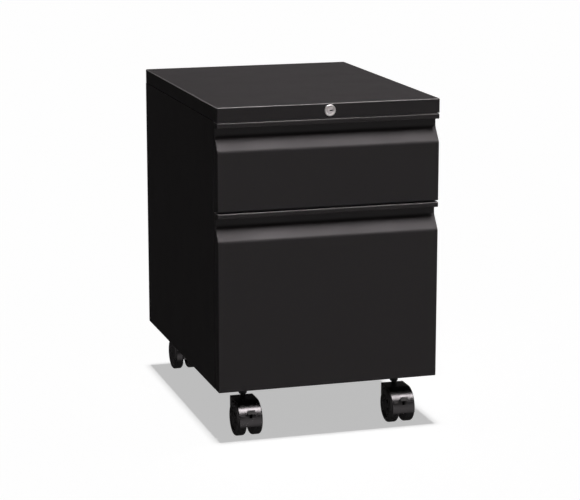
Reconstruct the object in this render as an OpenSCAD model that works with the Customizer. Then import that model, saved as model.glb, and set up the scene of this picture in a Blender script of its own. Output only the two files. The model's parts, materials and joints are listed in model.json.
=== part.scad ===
// Two-drawer mobile pedestal: a box drawer over a file drawer in a sheet-steel case
// on four twin-wheel casters, with one lock that bars both drawers.
// The origin is on the floor under the middle of the cabinet. +X is the right-hand
// side seen from the front, +Y is the back and +Z is up. Sizes are in millimetres.

/* [Cabinet] */
// Width over the side panels
width = 381; // [340:1:480]
// Depth from the drawer fronts to the back
depth = 505; // [490:1:620]
// Height from the underside of the case to the top
body_h = 474; // [470:1:620]
// Thickness of the case, drawer and cap sheet
sheet = 1; // [0.8:0.1:1.2]
// Height of the cap's skirt
cap_h = 24; // [22:1:34]
// Gap between the cap and the top of the case walls, and over the upper front
cap_gap = 1.5; // [1:0.5:3]
// Distance from the front plane back to the front edge of the case
case_setback = 26; // [25:1:32]
// Width of the case's front flange on each side
flange_w = 16; // [14:1:24]

/* [Drawer fronts] */
// Height of the upper front
box_front_h = 146; // [120:1:180]
// Gap between the two fronts
front_gap = 2.5; // [1.5:0.5:5]
// Inset of each front from the side of the case
front_inset = 0.5; // [0.2:0.1:2]
// Depth of a front, front to back
front_t = 22; // [21:1:24]
// Height of the lip over the finger recess
lip_h = 8.5; // [6:0.5:12]
// Depth of the finger recess
recess_d = 18; // [14:0.5:19]
// Height of the back wall of the recess
recess_wall = 14; // [10:1:18]
// Height of the slope from the recess down to the flat face
slope_h = 24; // [18:1:32]

/* [Drawer bodies] */
// Height of the box drawer's sides
box_tray_h = 102; // [80:1:104]
// Height of the file drawer's sides
file_tray_h = 244; // [240:1:250]
// Floor of a drawer above the bottom edge of its front
tray_lift = 9; // [6:1:12]
// Floor of the file drawer above the underside of the case
file_tray_lift = 27; // [26:1:32]
// Space behind the drawer bodies for the lock bar
rear_space = 28.5; // [28:0.5:40]
// Travel of each drawer
travel = 430; // [300:5:440]

/* [Slides] */
// Thickness of a slide, from the case to the drawer
slide_t = 12.7; // [12.7:0.1:13.5]
// Height of the outer member
slide_h = 45; // [44:1:50]
// Diameter of the balls
ball_d = 4; // [3.6:0.1:4]
// Height of the box drawer's slide above the floor of that drawer
box_slide_up = 45; // [30:1:50]
// Height of the file drawer's slide above the floor of that drawer
file_slide_up = 128; // [60:1:180]

/* [Lock] */
// Diameter of the lock's face ring
lock_ring_d = 19; // [18:0.5:20]
// Diameter of the lock's threaded barrel
lock_barrel_d = 15.8; // [15:0.1:16.5]
// Diameter of the turning plug
plug_d = 12; // [10:0.5:12.5]
// Radius of the crank at the back of the lock rod
crank_r = 7; // [6:0.1:7]
// Diameter of the lock rod
rod_d = 6; // [5:0.5:7]

/* [Casters] */
// Diameter of each wheel
wheel_d = 58; // [50:1:60]
// Width of each wheel
wheel_w = 16.5; // [12:0.5:20]
// Gap between the two wheels of a caster
wheel_gap = 11; // [11:0.5:18]
// Radius of a wheel's shoulders
wheel_shoulder = 4; // [2:0.5:5]
// Width of the hood over the wheels
hood_w = 40; // [34:1:44]
// Height of the case above the floor
caster_h = 85; // [82:1:110]
// Distance of the axle from the swivel axis
trail = 20; // [16:1:24]
// Distance of each swivel axis from the side of the case
caster_in_x = 56; // [46:1:80]
// Distance of each swivel axis from the front and from the back
caster_in_y = 55; // [54:1:90]

/* [Hidden] */
$fn = 64;
eps = 0.01;
fit = 0.05;
air = 0.3;

// levels
case_z = caster_h;
top_z = case_z + body_h;
cap_z = top_z - cap_h;
wall_top_z = cap_z - cap_gap + 0.5;
box_top = cap_z - cap_gap;
box_bottom = box_top - box_front_h;
file_top = box_bottom - front_gap;
file_front_h = file_top - case_z;
box_floor = box_bottom + tray_lift;
file_floor = case_z + file_tray_lift;

// half width and the two end planes
half_w = width / 2;
front_y = -depth / 2;
back_y = depth / 2;
case_y = front_y + case_setback;
front_back_y = front_y + front_t;

// slide planes: the mounting face on the case side and the face on the drawer side
slide_x = half_w - flange_w;
tray_x = slide_x - slide_t;
tray_y0 = front_back_y;
tray_y1 = back_y - rear_space;
slide_y0 = case_y + 4.5;
slide_y1 = tray_y1 + 4;
slide_len = slide_y1 - slide_y0;

// slide section, across the slide from its mounting face and up from its centre
outer_t = 1.4;
inner_t = 1.2;
race_gap = ball_d + 0.2;
mid_half = slide_h / 2 - outer_t - race_gap;
rail_half = mid_half - inner_t - race_gap;
mid_web = outer_t + inner_t;
channel_reach = slide_t - 2.2;
rail_reach = mid_web + inner_t + 1.1;
cage_t = 0.5;
cage_len = 230;
cage_y = (slide_y0 + slide_y1) / 2;
outer_level = slide_h / 2 - outer_t - race_gap / 2;
inner_level = mid_half - inner_t - race_gap / 2;
balls_per_row = 8;
ball_step = (cage_len - 20) / (balls_per_row - 1);
rivet_d = 4;

// step that lets the walls run up inside the cap skirt
joggle_in = 2 * sheet + 0.8;
hem_d = 12;
flange_lip = 10;

// fronts: corner radii of the outline, and the bumpers behind them
front_radii = [0, 1.5, 1.2, 3, 8, 10, 2, 0];
bumper_t = case_setback - front_t - air;
bumper_d = 8;
folder_rail_w = 6;

// case uprights
upright_w = 30;
upright_t = 1.2;
upright_y = [case_y + 12.5, tray_y1 - 34];

// base
base_t = 1.2;
base_z = case_z + sheet;
base_flange = 20;
counterweight_half = width / 2 - caster_in_x - 20;
counterweight_y = back_y - 190;
counterweight_t = 18;

// lock
lock_z = cap_z + cap_h / 2;
ring_out = 1.2;
lock_len = 20;
plug_len = 24;
crank_pin_d = 4;
crank_hub_r = 9.8;
crank_t = 3;
slot_air = 0.6;
bar_t = 1.5;
bar_y = tray_y1 + 16;
bar_x = [-12, 16];
bar_drop = sqrt(2) * crank_r;
bar_top = lock_z + crank_r / sqrt(2) + crank_pin_d / 2 + slot_air + 2.2;
crank_y = bar_y - 1.5 - crank_t;
catch_reach = 12;
catch_lip = 12;
catch_w = 18;
finger_gap = 0.8;
box_catch_z = box_floor + 62;
file_catch_z = file_floor + 200;

// casters
wheel_r = wheel_d / 2;
axle_d = 6;
stem_d = 7;
neck_d = 14;
neck_thin_d = 8;
boss_d = 20;
socket_d = 15;
socket_flange_d = 24;
neck_waist_h = 4;
hood_air = 1.2;
hood_t = 2;
hood_r = wheel_r + hood_air + hood_t;
hood_top = wheel_r + hood_r;
hood_low = 22;
stem_depth = 26;
web_half = wheel_gap / 2 - 0.6;
web_pin_wall = 0.5;
socket_h = 24;
stem_top_d = 11;
caster_x = half_w - caster_in_x;
caster_y = depth / 2 - caster_in_y;
brake_pivot = [-trail - 20, wheel_r + 15];
brake_half = 2;

// ---------- helpers ----------

// A box between two corners
module slab(x, y, z) {
    translate([x[0], y[0], z[0]]) cube([x[1] - x[0], y[1] - y[0], z[1] - z[0]]);
}

// An outline in Y and Z, run along X
module along_x(x) {
    translate([x[0], 0, 0]) rotate([90, 0, 90]) linear_extrude(x[1] - x[0]) children();
}

// An outline in X and Z, run along Y
module along_y(y) {
    translate([0, y[1], 0]) rotate([90, 0, 0]) linear_extrude(y[1] - y[0]) children();
}

// A rod along Y between two planes
module rod_y(r, y) {
    translate([0, y[0], 0]) rotate([-90, 0, 0]) cylinder(r = r, h = y[1] - y[0]);
}

// A rod along X between two planes
module rod_x(r, x) {
    translate([x[0], 0, 0]) rotate([0, 90, 0]) cylinder(r = r, h = x[1] - x[0]);
}

module both_sides() {
    children();
    mirror([1, 0, 0]) children();
}

function unit(v) = v / norm(v);

// Points of an arc that rounds the corner b between a and c
function corner(a, b, c, r, n = 5) =
    r == 0 ? [b] :
    let (u = unit(a - b), v = unit(c - b), half = acos(u * v) / 2)
    let (o = b + unit(u + v) * r / sin(half))
    let (p = b + u * r / tan(half) - o, q = b + v * r / tan(half) - o)
    let (a0 = atan2(p[1], p[0]), turn = atan2(q[1], q[0]) - a0)
    let (swing = turn > 180 ? turn - 360 : turn < -180 ? turn + 360 : turn)
    [for (i = [0:n]) o + r * [cos(a0 + swing * i / n), sin(a0 + swing * i / n)]];

// Outline with each corner rounded to its own radius
function rounded(pts, radii) =
    let (n = len(pts))
    [for (i = [0:n - 1], p = corner(pts[(i + n - 1) % n], pts[i], pts[(i + 1) % n], radii[i])) p];

// Outline moved inward by t; its points run counter-clockwise
function inset(pts, t) =
    let (n = len(pts))
    [for (i = [0:n - 1])
        let (u = unit(pts[i] - pts[(i + n - 1) % n]), v = unit(pts[(i + 1) % n] - pts[i]))
        let (a = [-u[1], u[0]], b = [-v[1], v[0]])
        pts[i] + t * (a + b) / (1 + a * b)];

// ---------- case ----------

// A wall's top: a step inward, then up inside the cap skirt. The wall's outer face is
// at 0 and the inside is on the positive side.
module stepped_top() {
    translate([0, wall_top_z - sheet]) square([joggle_in, sheet]);
    translate([joggle_in - sheet, wall_top_z - sheet])
        square([sheet, top_z - sheet - air - wall_top_z + sheet]);
}

module side_panel() {
    slab([-half_w, -half_w + sheet], [case_y, back_y], [case_z, wall_top_z]);
    along_y([case_y + 2 * sheet, back_y - sheet - air]) translate([-half_w, 0]) stepped_top();
    // front flange with its lip turned back
    slab([-half_w, -slide_x], [case_y, case_y + sheet], [case_z, wall_top_z]);
    slab([-slide_x - sheet, -slide_x], [case_y, case_y + flange_lip], [case_z, wall_top_z]);
    // return under the base
    slab([-half_w, -half_w + hem_d], [case_y, back_y - sheet], [case_z, case_z + sheet]);
}

module left_side_panel() color("#1b1a1a") side_panel();

module right_side_panel() color("#1b1a1a") mirror([1, 0, 0]) side_panel();

module back_panel() color("#1b1a1a") {
    inner = half_w - sheet;
    slab([-inner, inner], [back_y - sheet, back_y], [case_z, wall_top_z]);
    // stepped top
    slab([-inner + hem_d, inner - hem_d], [back_y - joggle_in, back_y],
        [wall_top_z - sheet, wall_top_z]);
    slab([-inner + hem_d, inner - hem_d], [back_y - joggle_in, back_y - joggle_in + sheet],
        [wall_top_z - sheet, top_z - sheet - air]);
    // flanges against the side panels
    both_sides() slab([inner - sheet, inner], [back_y - hem_d, back_y],
        [base_z + base_flange + 1, wall_top_z - 3 * sheet]);
}

// The caster places, seen from above
module at_caster(side, end) {
    translate([side * caster_x, end * caster_y, 0]) rotate(end > 0 ? 180 : 0) children();
}

module at_all_casters() {
    for (side = [-1, 1], end = [-1, 1]) at_caster(side, end) children();
}

module base_pan() color("#1b1a1a") {
    x1 = half_w - sheet;
    y0 = case_y + flange_lip + 1;
    y1 = back_y - sheet;
    difference() {
        union() {
            slab([-x1, x1], [y0, y1], [base_z, base_z + base_t]);
            slab([-x1, x1], [y1 - base_t, y1], [base_z, base_z + base_flange]);
            slab([-slide_x + upright_t, slide_x - upright_t], [y0, y0 + base_t],
                [base_z, base_z + base_flange]);
        }
        at_all_casters()
            translate([0, 0, base_z - 1]) cylinder(d = socket_d + 2 * fit, h = base_t + 2);
        for (y = upright_y) both_sides()
            slab([slide_x - air, half_w], [y - air, y + upright_w + air],
                [base_z - 1, base_z + base_t + 1]);
    }
}

module top_cap() color("#2a2827") {
    difference() {
        slab([-half_w, half_w], [front_y, back_y], [cap_z, top_z]);
        slab([-half_w + sheet, half_w - sheet], [front_y + sheet, back_y - sheet],
            [cap_z - 1, top_z - sheet]);
        translate([0, 0, lock_z]) rod_y(lock_barrel_d / 2 + fit, [front_y - 1, front_y + sheet + 1]);
    }
    // hem under the front skirt
    slab([-half_w + sheet, half_w - sheet], [front_y + sheet, front_y + hem_d],
        [cap_z, cap_z + sheet]);
}

module top_front_rail() color("#1b1a1a") {
    x1 = slide_x - 0.5;
    z1 = top_z - sheet;
    z0 = cap_z - 22;
    difference() {
        union() {
            slab([-x1, x1], [case_y, case_y + sheet], [z0, z1]);
            slab([-x1 + sheet, x1 - sheet], [case_y, case_y + 20], [z0, z0 + sheet]);
            slab([-x1 + sheet, x1 - sheet], [case_y, case_y + 20], [z1 - sheet, z1]);
        }
        translate([0, 0, lock_z]) rod_y(rod_d / 2 + air, [case_y - 1, case_y + sheet + 1]);
    }
}

// Vertical hat-section posts that carry the slides
module case_uprights() color("#3a3a3c") {
    for (y = upright_y) both_sides() {
        difference() {
            union() {
                slab([slide_x, slide_x + upright_t], [y, y + upright_w], [base_z, wall_top_z - 8]);
                for (leg = [y, y + upright_w - upright_t])
                    slab([slide_x, half_w - sheet], [leg, leg + upright_t],
                        [base_z, wall_top_z - 8]);
            }
            slide_rivet_places() rod_x(rivet_d / 2, [-1, upright_t + outer_t + 1]);
        }
    }
}

module counterweight() color("#4a4a4c")
    slab([-counterweight_half, counterweight_half], [counterweight_y, back_y - sheet - base_t - 1],
        [base_z + base_t, base_z + base_t + counterweight_t]);

module caster_sockets() color("#8d8f92") {
    at_all_casters() difference() {
        union() {
            translate([0, 0, case_z]) cylinder(d = socket_d, h = socket_h);
            translate([0, 0, case_z]) cylinder(d = socket_flange_d, h = sheet);
        }
        translate([0, 0, case_z - 1]) cylinder(d = stem_top_d + 2 * fit, h = socket_h + 2);
    }
}

module caster_stems() color("#8d8f92") {
    at_all_casters() {
        translate([0, 0, hood_top - stem_depth]) cylinder(d = stem_d, h = stem_depth + 1);
        translate([0, 0, hood_top + 0.5]) cylinder(d = neck_thin_d, h = neck_waist_h);
        translate([0, 0, hood_top + neck_waist_h])
            cylinder(d = neck_d, h = case_z - hood_top - neck_waist_h);
        translate([0, 0, case_z - 1]) cylinder(d = stem_top_d, h = socket_h);
    }
}

// ---------- slides ----------

// Two rivets at each slide on one upright, with x measured from the slide face
module slide_rivet_places() {
    for (y = upright_y, z = [box_floor + box_slide_up, file_floor + file_slide_up], up = [-8, 8])
        translate([slide_x - outer_t, y + upright_w / 2, z + up]) children();
}

module slide_rivets() color("#8d8f92")
    both_sides() slide_rivet_places() rod_x(rivet_d / 2, [0.1, outer_t + upright_t + 0.4]);

// A channel of the slide on the right-hand side; s runs from the case to the drawer
module slide_channel(s, web, half, t, lip) {
    slab([slide_x - web - t, slide_x - web], [slide_y0, slide_y1], [-half, half]);
    for (up = [0, 1]) mirror([0, 0, up]) {
        slab([slide_x - s[1], slide_x - s[0]], [slide_y0, slide_y1], [half - t, half]);
        if (lip > 0) slab([slide_x - s[1], slide_x - s[1] + t], [slide_y0, slide_y1],
            [half - t - lip, half]);
    }
}

module cabinet_members(z) color("#b4b6b8") {
    difference() {
        both_sides() translate([0, 0, z])
            slide_channel([0, channel_reach], 0, slide_h / 2, outer_t, 1);
        both_sides() slide_rivet_places() rod_x(rivet_d / 2, [-1, outer_t + 1]);
    }
}

module middle_members(z) color("#a9abad")
    both_sides() translate([0, 0, z])
        slide_channel([mid_web, channel_reach], mid_web, mid_half, inner_t, 0);

module drawer_members(z) color("#b4b6b8")
    both_sides() translate([0, 0, z])
        slide_channel([rail_reach, slide_t], slide_t - outer_t, rail_half, inner_t, 0);

// A U-shaped cage with a row of balls along its top and its bottom
module ball_row(s, level) {
    for (i = [0:balls_per_row - 1], up = [-1, 1])
        translate([slide_x - s, cage_y - cage_len / 2 + 10 + i * ball_step, up * level])
            children();
}

module ball_cages(z, web, reach, level, ball_s) color("#6d7073") {
    y = [cage_y - cage_len / 2, cage_y + cage_len / 2];
    both_sides() translate([0, 0, z]) {
        difference() {
            union() {
                slab([slide_x - web - cage_t, slide_x - web], y, [-level, level]);
                for (up = [0, 1]) mirror([0, 0, up])
                    slab([slide_x - reach, slide_x - web], y,
                        [level - cage_t / 2, level + cage_t / 2]);
            }
            ball_row(ball_s, level)
                translate([0, 0, -1]) cylinder(d = ball_d + 0.3, h = 2);
        }
        ball_row(ball_s, level) sphere(d = ball_d);
    }
}

module outer_cages(z) ball_cages(z, outer_t + air, channel_reach - inner_t - 1, outer_level, 5.6);

module inner_cages(z) ball_cages(z, mid_web + inner_t + air, channel_reach - 0.5, inner_level, 7.2);

// ---------- drawers ----------

// Side view of a front: lip, finger recess, slope and flat face, from the top at 0
function front_outline(h) =
    let (under = lip_h + 1, back = under + recess_wall - 0.5, crest = back + slope_h)
    [[front_t, 0], [0, 0], [0, -lip_h], [recess_d, -under], [recess_d, -back],
     [0, -crest], [0, -h], [front_t, -h]];

// Formed front: a closed-ended skin, open at the back
module drawer_front(z_top, h) color("#2a2827") {
    outline = rounded(front_outline(h), front_radii);
    x1 = half_w - front_inset;
    translate([0, front_y, z_top]) difference() {
        along_x([-x1, x1]) polygon(outline);
        along_x([-x1 + sheet, x1 - sheet]) polygon(inset(outline, sheet));
        slab([-x1 + sheet, x1 - sheet], [front_t - sheet - eps, front_t + 1],
            [-h + sheet, -sheet]);
    }
}

module drawer_liner(z_top, h) color("#2a2827")
    slab([-half_w + front_inset + sheet, half_w - front_inset - sheet],
        [front_back_y - sheet, front_back_y], [z_top - h + sheet, z_top - sheet]);

// Folded body: floor and two sides with hemmed top edges
module drawer_tray(floor_z, h, hem) color("#2f2e2f") {
    y = [tray_y0, tray_y1];
    slab([-tray_x, tray_x], y, [floor_z, floor_z + sheet]);
    both_sides() {
        slab([tray_x - sheet, tray_x], y, [floor_z, floor_z + h]);
        slab([tray_x - hem, tray_x], y, [floor_z + h - sheet, floor_z + h]);
        slab([tray_x - hem, tray_x - hem + sheet], y, [floor_z + h - 5, floor_z + h]);
    }
}

module drawer_back(floor_z, h) color("#2f2e2f") {
    inner = tray_x - sheet;
    slab([-inner, inner], [tray_y1 - sheet, tray_y1], [floor_z + sheet, floor_z + h - 5.5]);
    slab([-inner, inner], [tray_y1 - 8, tray_y1], [floor_z + sheet, floor_z + 2 * sheet]);
}

// Hook on the back of a drawer that the lock bar's finger drops in front of
module drawer_catch(z) color("#8d8f92") {
    x = [-catch_w / 2, catch_w / 2];
    slab(x, [tray_y1, tray_y1 + 1.2], [z - 14, z + 1.2]);
    slab(x, [tray_y1, tray_y1 + catch_reach], [z, z + 1.2]);
    slab(x, [tray_y1 + catch_reach - 1.2, tray_y1 + catch_reach], [z, z + catch_lip]);
}

module drawer_bumpers(z_low, z_high) color("#151515")
    both_sides() for (z = [z_low, z_high])
        translate([half_w - flange_w / 2, 0, z])
            rod_y(bumper_d / 2, [front_back_y, front_back_y + bumper_t]);

// Folder rails that clip over the top edges of the file drawer
module file_hanging_rails() color("#6d7073") {
    y = [tray_y0, tray_y1 - 10];
    z = file_floor + file_tray_h;
    both_sides() {
        slab([tray_x - folder_rail_w, tray_x], y, [z, z + 1.5]);
        slab([tray_x - folder_rail_w, tray_x - folder_rail_w + 1.5], y, [z - 6, z + 1.5]);
    }
}

module box_drawer_front() drawer_front(box_top, box_front_h);
module box_drawer_liner() drawer_liner(box_top, box_front_h);
module box_drawer_tray() drawer_tray(box_floor, box_tray_h, 6);
module box_drawer_back() drawer_back(box_floor, box_tray_h);
module box_drawer_catch() drawer_catch(box_catch_z);
module box_drawer_bumpers() drawer_bumpers(box_bottom + 18, box_top - 18);
module box_slide_drawer_members() drawer_members(box_floor + box_slide_up);
module box_slide_middle_members() middle_members(box_floor + box_slide_up);
module box_slide_cabinet_members() cabinet_members(box_floor + box_slide_up);
module box_slide_outer_ball_cages() outer_cages(box_floor + box_slide_up);
module box_slide_inner_ball_cages() inner_cages(box_floor + box_slide_up);

module file_drawer_front() drawer_front(file_top, file_front_h);
module file_drawer_liner() drawer_liner(file_top, file_front_h);
module file_drawer_tray() drawer_tray(file_floor, file_tray_h, 3);
module file_drawer_back() drawer_back(file_floor, file_tray_h);
module file_drawer_catch() drawer_catch(file_catch_z);
module file_drawer_bumpers() drawer_bumpers(case_z + 30, file_top - 18);
module file_slide_drawer_members() drawer_members(file_floor + file_slide_up);
module file_slide_middle_members() middle_members(file_floor + file_slide_up);
module file_slide_cabinet_members() cabinet_members(file_floor + file_slide_up);
module file_slide_outer_ball_cages() outer_cages(file_floor + file_slide_up);
module file_slide_inner_ball_cages() inner_cages(file_floor + file_slide_up);

// ---------- lock ----------

module lock_housing() color("#c9cbcd") {
    translate([0, 0, lock_z]) difference() {
        union() {
            rod_y(lock_ring_d / 2, [front_y - ring_out, front_y]);
            rod_y(lock_barrel_d / 2, [front_y - ring_out, front_y + lock_len]);
        }
        rod_y(plug_d / 2, [front_y - ring_out - 1, front_y + lock_len + 1]);
    }
}

module lock_nut() color("#a9abad") {
    y = [front_y + sheet, front_y + sheet + 4];
    translate([0, 0, lock_z]) difference() {
        translate([0, y[0], 0]) rotate([-90, 0, 0]) cylinder(r = 10.8, h = y[1] - y[0], $fn = 6);
        rod_y(lock_barrel_d / 2 + fit, [y[0] - 1, y[1] + 1]);
    }
}

// The plug turns a quarter turn; its keyway runs across the face
module lock_plug() color("#b9bbbd") {
    keyway_w = 8;
    keyway_h = 2;
    translate([0, 0, lock_z]) difference() {
        rod_y(plug_d / 2 - fit, [front_y - ring_out + 0.4, front_y + plug_len]);
        slab([-1, keyway_w - 3], [front_y - ring_out - 1, front_y + plug_len - 6],
            [-keyway_h / 2, keyway_h / 2]);
    }
}

module crank_place() {
    translate([crank_r / sqrt(2), 0, crank_r / sqrt(2)]) children();
}

module lock_rod() color("#a9abad") translate([0, 0, lock_z]) {
    rod_y(rod_d / 2, [front_y + plug_len, crank_y + crank_t]);
    rod_y(crank_hub_r, [crank_y, crank_y + crank_t]);
    crank_place() rod_y(crank_pin_d / 2, [crank_y, bar_y + bar_t + 2]);
}

module lock_rod_bracket() color("#3a3a3c") {
    y = tray_y1 + 1;
    difference() {
        union() {
            slab([-15, 15], [y, y + 1.5], [lock_z - 8, top_z - sheet]);
            slab([-15, 15], [y - 14, y + 1.5], [top_z - sheet - 1.5, top_z - sheet]);
        }
        translate([0, 0, lock_z]) rod_y(rod_d / 2 + fit, [y - 1, y + 3]);
    }
}

// Vertical bar with a slot for the crank pin and one finger for each drawer
module lock_bar() color("#8d8f92") {
    finger_y = tray_y1 + 4.5;
    pin_far = crank_r + crank_pin_d / 2 + slot_air;
    pin_near = crank_r / sqrt(2) - crank_pin_d / 2 - slot_air;
    slot_z = lock_z + crank_r / sqrt(2);
    slot_half = crank_pin_d / 2 + slot_air;
    low = file_catch_z - 20;
    difference() {
        slab(bar_x, [bar_y, bar_y + bar_t], [low, bar_top]);
        slab([pin_near, pin_far], [bar_y - 1, bar_y + bar_t + 1],
            [slot_z - slot_half, slot_z + slot_half]);
    }
    for (z = [box_catch_z, file_catch_z]) {
        tip = z + catch_lip + finger_gap;
        reach_z = tip + catch_lip;
        slab([-6, 6], [finger_y, finger_y + 1.5], [tip, reach_z + 1.5]);
        slab([-6, 6], [finger_y, bar_y], [reach_z, reach_z + 1.5]);
    }
}

// Brackets on the back panel that hold the lock bar
module lock_bar_guides() color("#3a3a3c") {
    side = 0.4;
    wrap = 3;
    behind = bar_y + bar_t + air;
    for (z = [file_catch_z + 60, box_catch_z + 36]) {
        zz = [z, z + 14];
        slab([bar_x[0] - side - wrap, bar_x[1] + side + wrap], [behind, behind + 1], zz);
        for (x = [bar_x[0] - side - wrap, bar_x[1] + side])
            slab([x, x + wrap], [bar_y - air - 1, behind + 1], zz);
        slab([bar_x[0] - side - wrap, bar_x[0] + 4], [bar_y - air - 1, bar_y - air], zz);
        slab([bar_x[1] - 4, bar_x[1] + side + wrap], [bar_y - air - 1, bar_y - air], zz);
        for (x = [bar_x[0] - side - wrap, bar_x[1] + side + wrap - 1.2])
            slab([x, x + 1.2], [behind, back_y - sheet], zz);
    }
}

// ---------- casters ----------
// Each caster is drawn round its swivel axis with its axle towards -Y

module caster_hood(braked) color("#121212") {
    difference() {
        union() {
            intersection() {
                translate([0, -trail, wheel_r]) rod_x(hood_r, [-hood_w / 2, hood_w / 2]);
                slab([-hood_w, hood_w], [-trail - hood_r - 1, boss_d / 2 - 0.5],
                    [hood_low, hood_top]);
            }
            // flat top back to the swivel boss
            slab([-hood_w / 2, hood_w / 2], [-trail, 2], [wheel_r + 20, hood_top]);
            translate([0, 0, wheel_r + 16]) cylinder(d = boss_d, h = hood_r - 16);
        }
        // room for the wheels on both sides of the middle web
        for (side = [-1, 1]) translate([side * (web_half + 15), -trail, wheel_r])
            rod_x(wheel_r + hood_air, [-15, 15]);
        translate([0, -trail, wheel_r]) rod_x(axle_d / 2, [-hood_w, hood_w]);
        translate([0, 0, hood_top - stem_depth - 1]) cylinder(d = stem_d + 2 * fit, h = stem_depth + 2);
        // the web is cut away behind the swivel boss
        slab([-hood_w, hood_w], [stem_d / 2 + 2, boss_d], [0, wheel_r + 12]);
        if (braked) brake_pocket();
    }
}

// Room in the web for the brake lever, with its pivot holes
module brake_pocket() {
    b = brake_half + 0.4;
    translate([0, brake_pivot[0], brake_pivot[1]]) {
        rod_x(3.5, [-b, b]);
        rod_x(1.5 + fit, [-web_half + web_pin_wall, web_half - web_pin_wall]);
        slab([-b, b], [-20, 0], [-7.5, 3.5]);
    }
}

module caster_axle() color("#a9abad")
    translate([0, -trail, wheel_r])
        rod_x(axle_d / 2, [-wheel_gap / 2 - wheel_w + 3, wheel_gap / 2 + wheel_w - 3]);

// Round-shouldered wheel with a dished outer face and a blind axle bore
module caster_wheel() color("#171717") {
    dish_r = wheel_r - 9;
    dish_d = 2.5;
    translate([wheel_gap / 2, -trail, wheel_r]) rotate([0, 90, 0]) difference() {
        rotate_extrude() {
            square([wheel_r - wheel_shoulder, wheel_w]);
            translate([0, wheel_shoulder]) square([wheel_r, wheel_w - 2 * wheel_shoulder]);
            for (edge = [wheel_shoulder, wheel_w - wheel_shoulder])
                translate([wheel_r - wheel_shoulder, edge]) circle(r = wheel_shoulder);
        }
        translate([0, 0, -1]) cylinder(d = axle_d + 2 * fit, h = wheel_w - 1.6);
        translate([0, 0, wheel_w - dish_d]) cylinder(r = dish_r, h = dish_d + 1);
    }
    // hub cap raised in the dish
    translate([wheel_gap / 2 + wheel_w - dish_d, -trail, wheel_r]) rod_x(9, [0, dish_d - 0.6]);
}

// Lever with a thumb tab; it tips forward and down about its own trunnions
module caster_brake() color("#5d5f61") {
    tab_half = 6.5;
    translate([0, brake_pivot[0], brake_pivot[1]]) {
        rod_x(3, [-brake_half, brake_half]);
        rod_x(1.5, [-web_half + web_pin_wall + air, web_half - web_pin_wall - air]);
        slab([-brake_half, brake_half], [-11.5, 0], [0, 3]);
        slab([-tab_half, tab_half], [-14, -11], [0, 7]);
    }
}

module wheel_a() caster_wheel();

module wheel_b() mirror([1, 0, 0]) caster_wheel();

// ---------- the nodes ----------

left_side_panel();
right_side_panel();
back_panel();
base_pan();
top_cap();
top_front_rail();
case_uprights();
counterweight();
caster_sockets();
caster_stems();
box_slide_cabinet_members();
file_slide_cabinet_members();
slide_rivets();
lock_housing();
lock_nut();
lock_rod_bracket();
lock_bar_guides();
lock_plug();
lock_rod();
lock_bar();
box_drawer_front();
box_drawer_liner();
box_drawer_tray();
box_drawer_back();
box_drawer_catch();
box_drawer_bumpers();
box_slide_drawer_members();
file_drawer_front();
file_drawer_liner();
file_drawer_tray();
file_drawer_back();
file_drawer_catch();
file_drawer_bumpers();
file_slide_drawer_members();
file_hanging_rails();
box_slide_middle_members();
box_slide_outer_ball_cages();
box_slide_inner_ball_cages();
file_slide_middle_members();
file_slide_outer_ball_cages();
file_slide_inner_ball_cages();
at_caster(-1, -1) caster_hood(true);  // caster_hood_front_left
at_caster(-1, -1) caster_axle();  // caster_axle_front_left
at_caster(-1, -1) wheel_a();  // wheel_front_left_a
at_caster(-1, -1) wheel_b();  // wheel_front_left_b
at_caster(-1, -1) caster_brake();  // caster_brake_front_left
at_caster(1, -1) caster_hood(true);  // caster_hood_front_right
at_caster(1, -1) caster_axle();  // caster_axle_front_right
at_caster(1, -1) wheel_a();  // wheel_front_right_a
at_caster(1, -1) wheel_b();  // wheel_front_right_b
at_caster(1, -1) caster_brake();  // caster_brake_front_right
at_caster(-1, 1) caster_hood(false);  // caster_hood_back_left
at_caster(-1, 1) caster_axle();  // caster_axle_back_left
at_caster(-1, 1) wheel_a();  // wheel_back_left_a
at_caster(-1, 1) wheel_b();  // wheel_back_left_b
at_caster(1, 1) caster_hood(false);  // caster_hood_back_right
at_caster(1, 1) caster_axle();  // caster_axle_back_right
at_caster(1, 1) wheel_a();  // wheel_back_right_a
at_caster(1, 1) wheel_b();  // wheel_back_right_b
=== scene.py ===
"""Looks of the two-drawer mobile pedestal: formed sheet-steel skins, slides, lock and casters.

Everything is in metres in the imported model's frame: +X right, +Y back, +Z up, the floor at 0.
"""
import json
import math

import bmesh
import bpy
from mathutils import Matrix, Vector


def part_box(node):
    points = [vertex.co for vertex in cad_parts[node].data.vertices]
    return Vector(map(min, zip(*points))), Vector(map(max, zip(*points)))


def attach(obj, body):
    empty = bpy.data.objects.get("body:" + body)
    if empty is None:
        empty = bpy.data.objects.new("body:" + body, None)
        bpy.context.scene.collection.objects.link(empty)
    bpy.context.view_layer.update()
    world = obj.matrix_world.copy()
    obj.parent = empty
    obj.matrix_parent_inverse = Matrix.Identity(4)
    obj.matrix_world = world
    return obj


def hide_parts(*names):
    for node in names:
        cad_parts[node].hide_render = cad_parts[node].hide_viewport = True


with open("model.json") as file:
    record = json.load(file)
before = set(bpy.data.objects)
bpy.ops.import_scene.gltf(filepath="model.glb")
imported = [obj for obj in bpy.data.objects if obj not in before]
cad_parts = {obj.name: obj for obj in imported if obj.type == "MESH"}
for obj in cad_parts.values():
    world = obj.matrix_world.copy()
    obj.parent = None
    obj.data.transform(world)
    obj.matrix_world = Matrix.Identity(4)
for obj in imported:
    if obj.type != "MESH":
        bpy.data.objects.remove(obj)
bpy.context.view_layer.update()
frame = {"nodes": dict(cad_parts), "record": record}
NODES = frame["nodes"]
MM = 0.001
ARC_STEPS = 8  # in a quarter round of a turned profile


# ---------- small helpers ----------

def span(node):
    """Lowest and highest corners of a CAD node, as two vectors."""
    low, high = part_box(node)
    return Vector(low), Vector(high)


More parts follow.
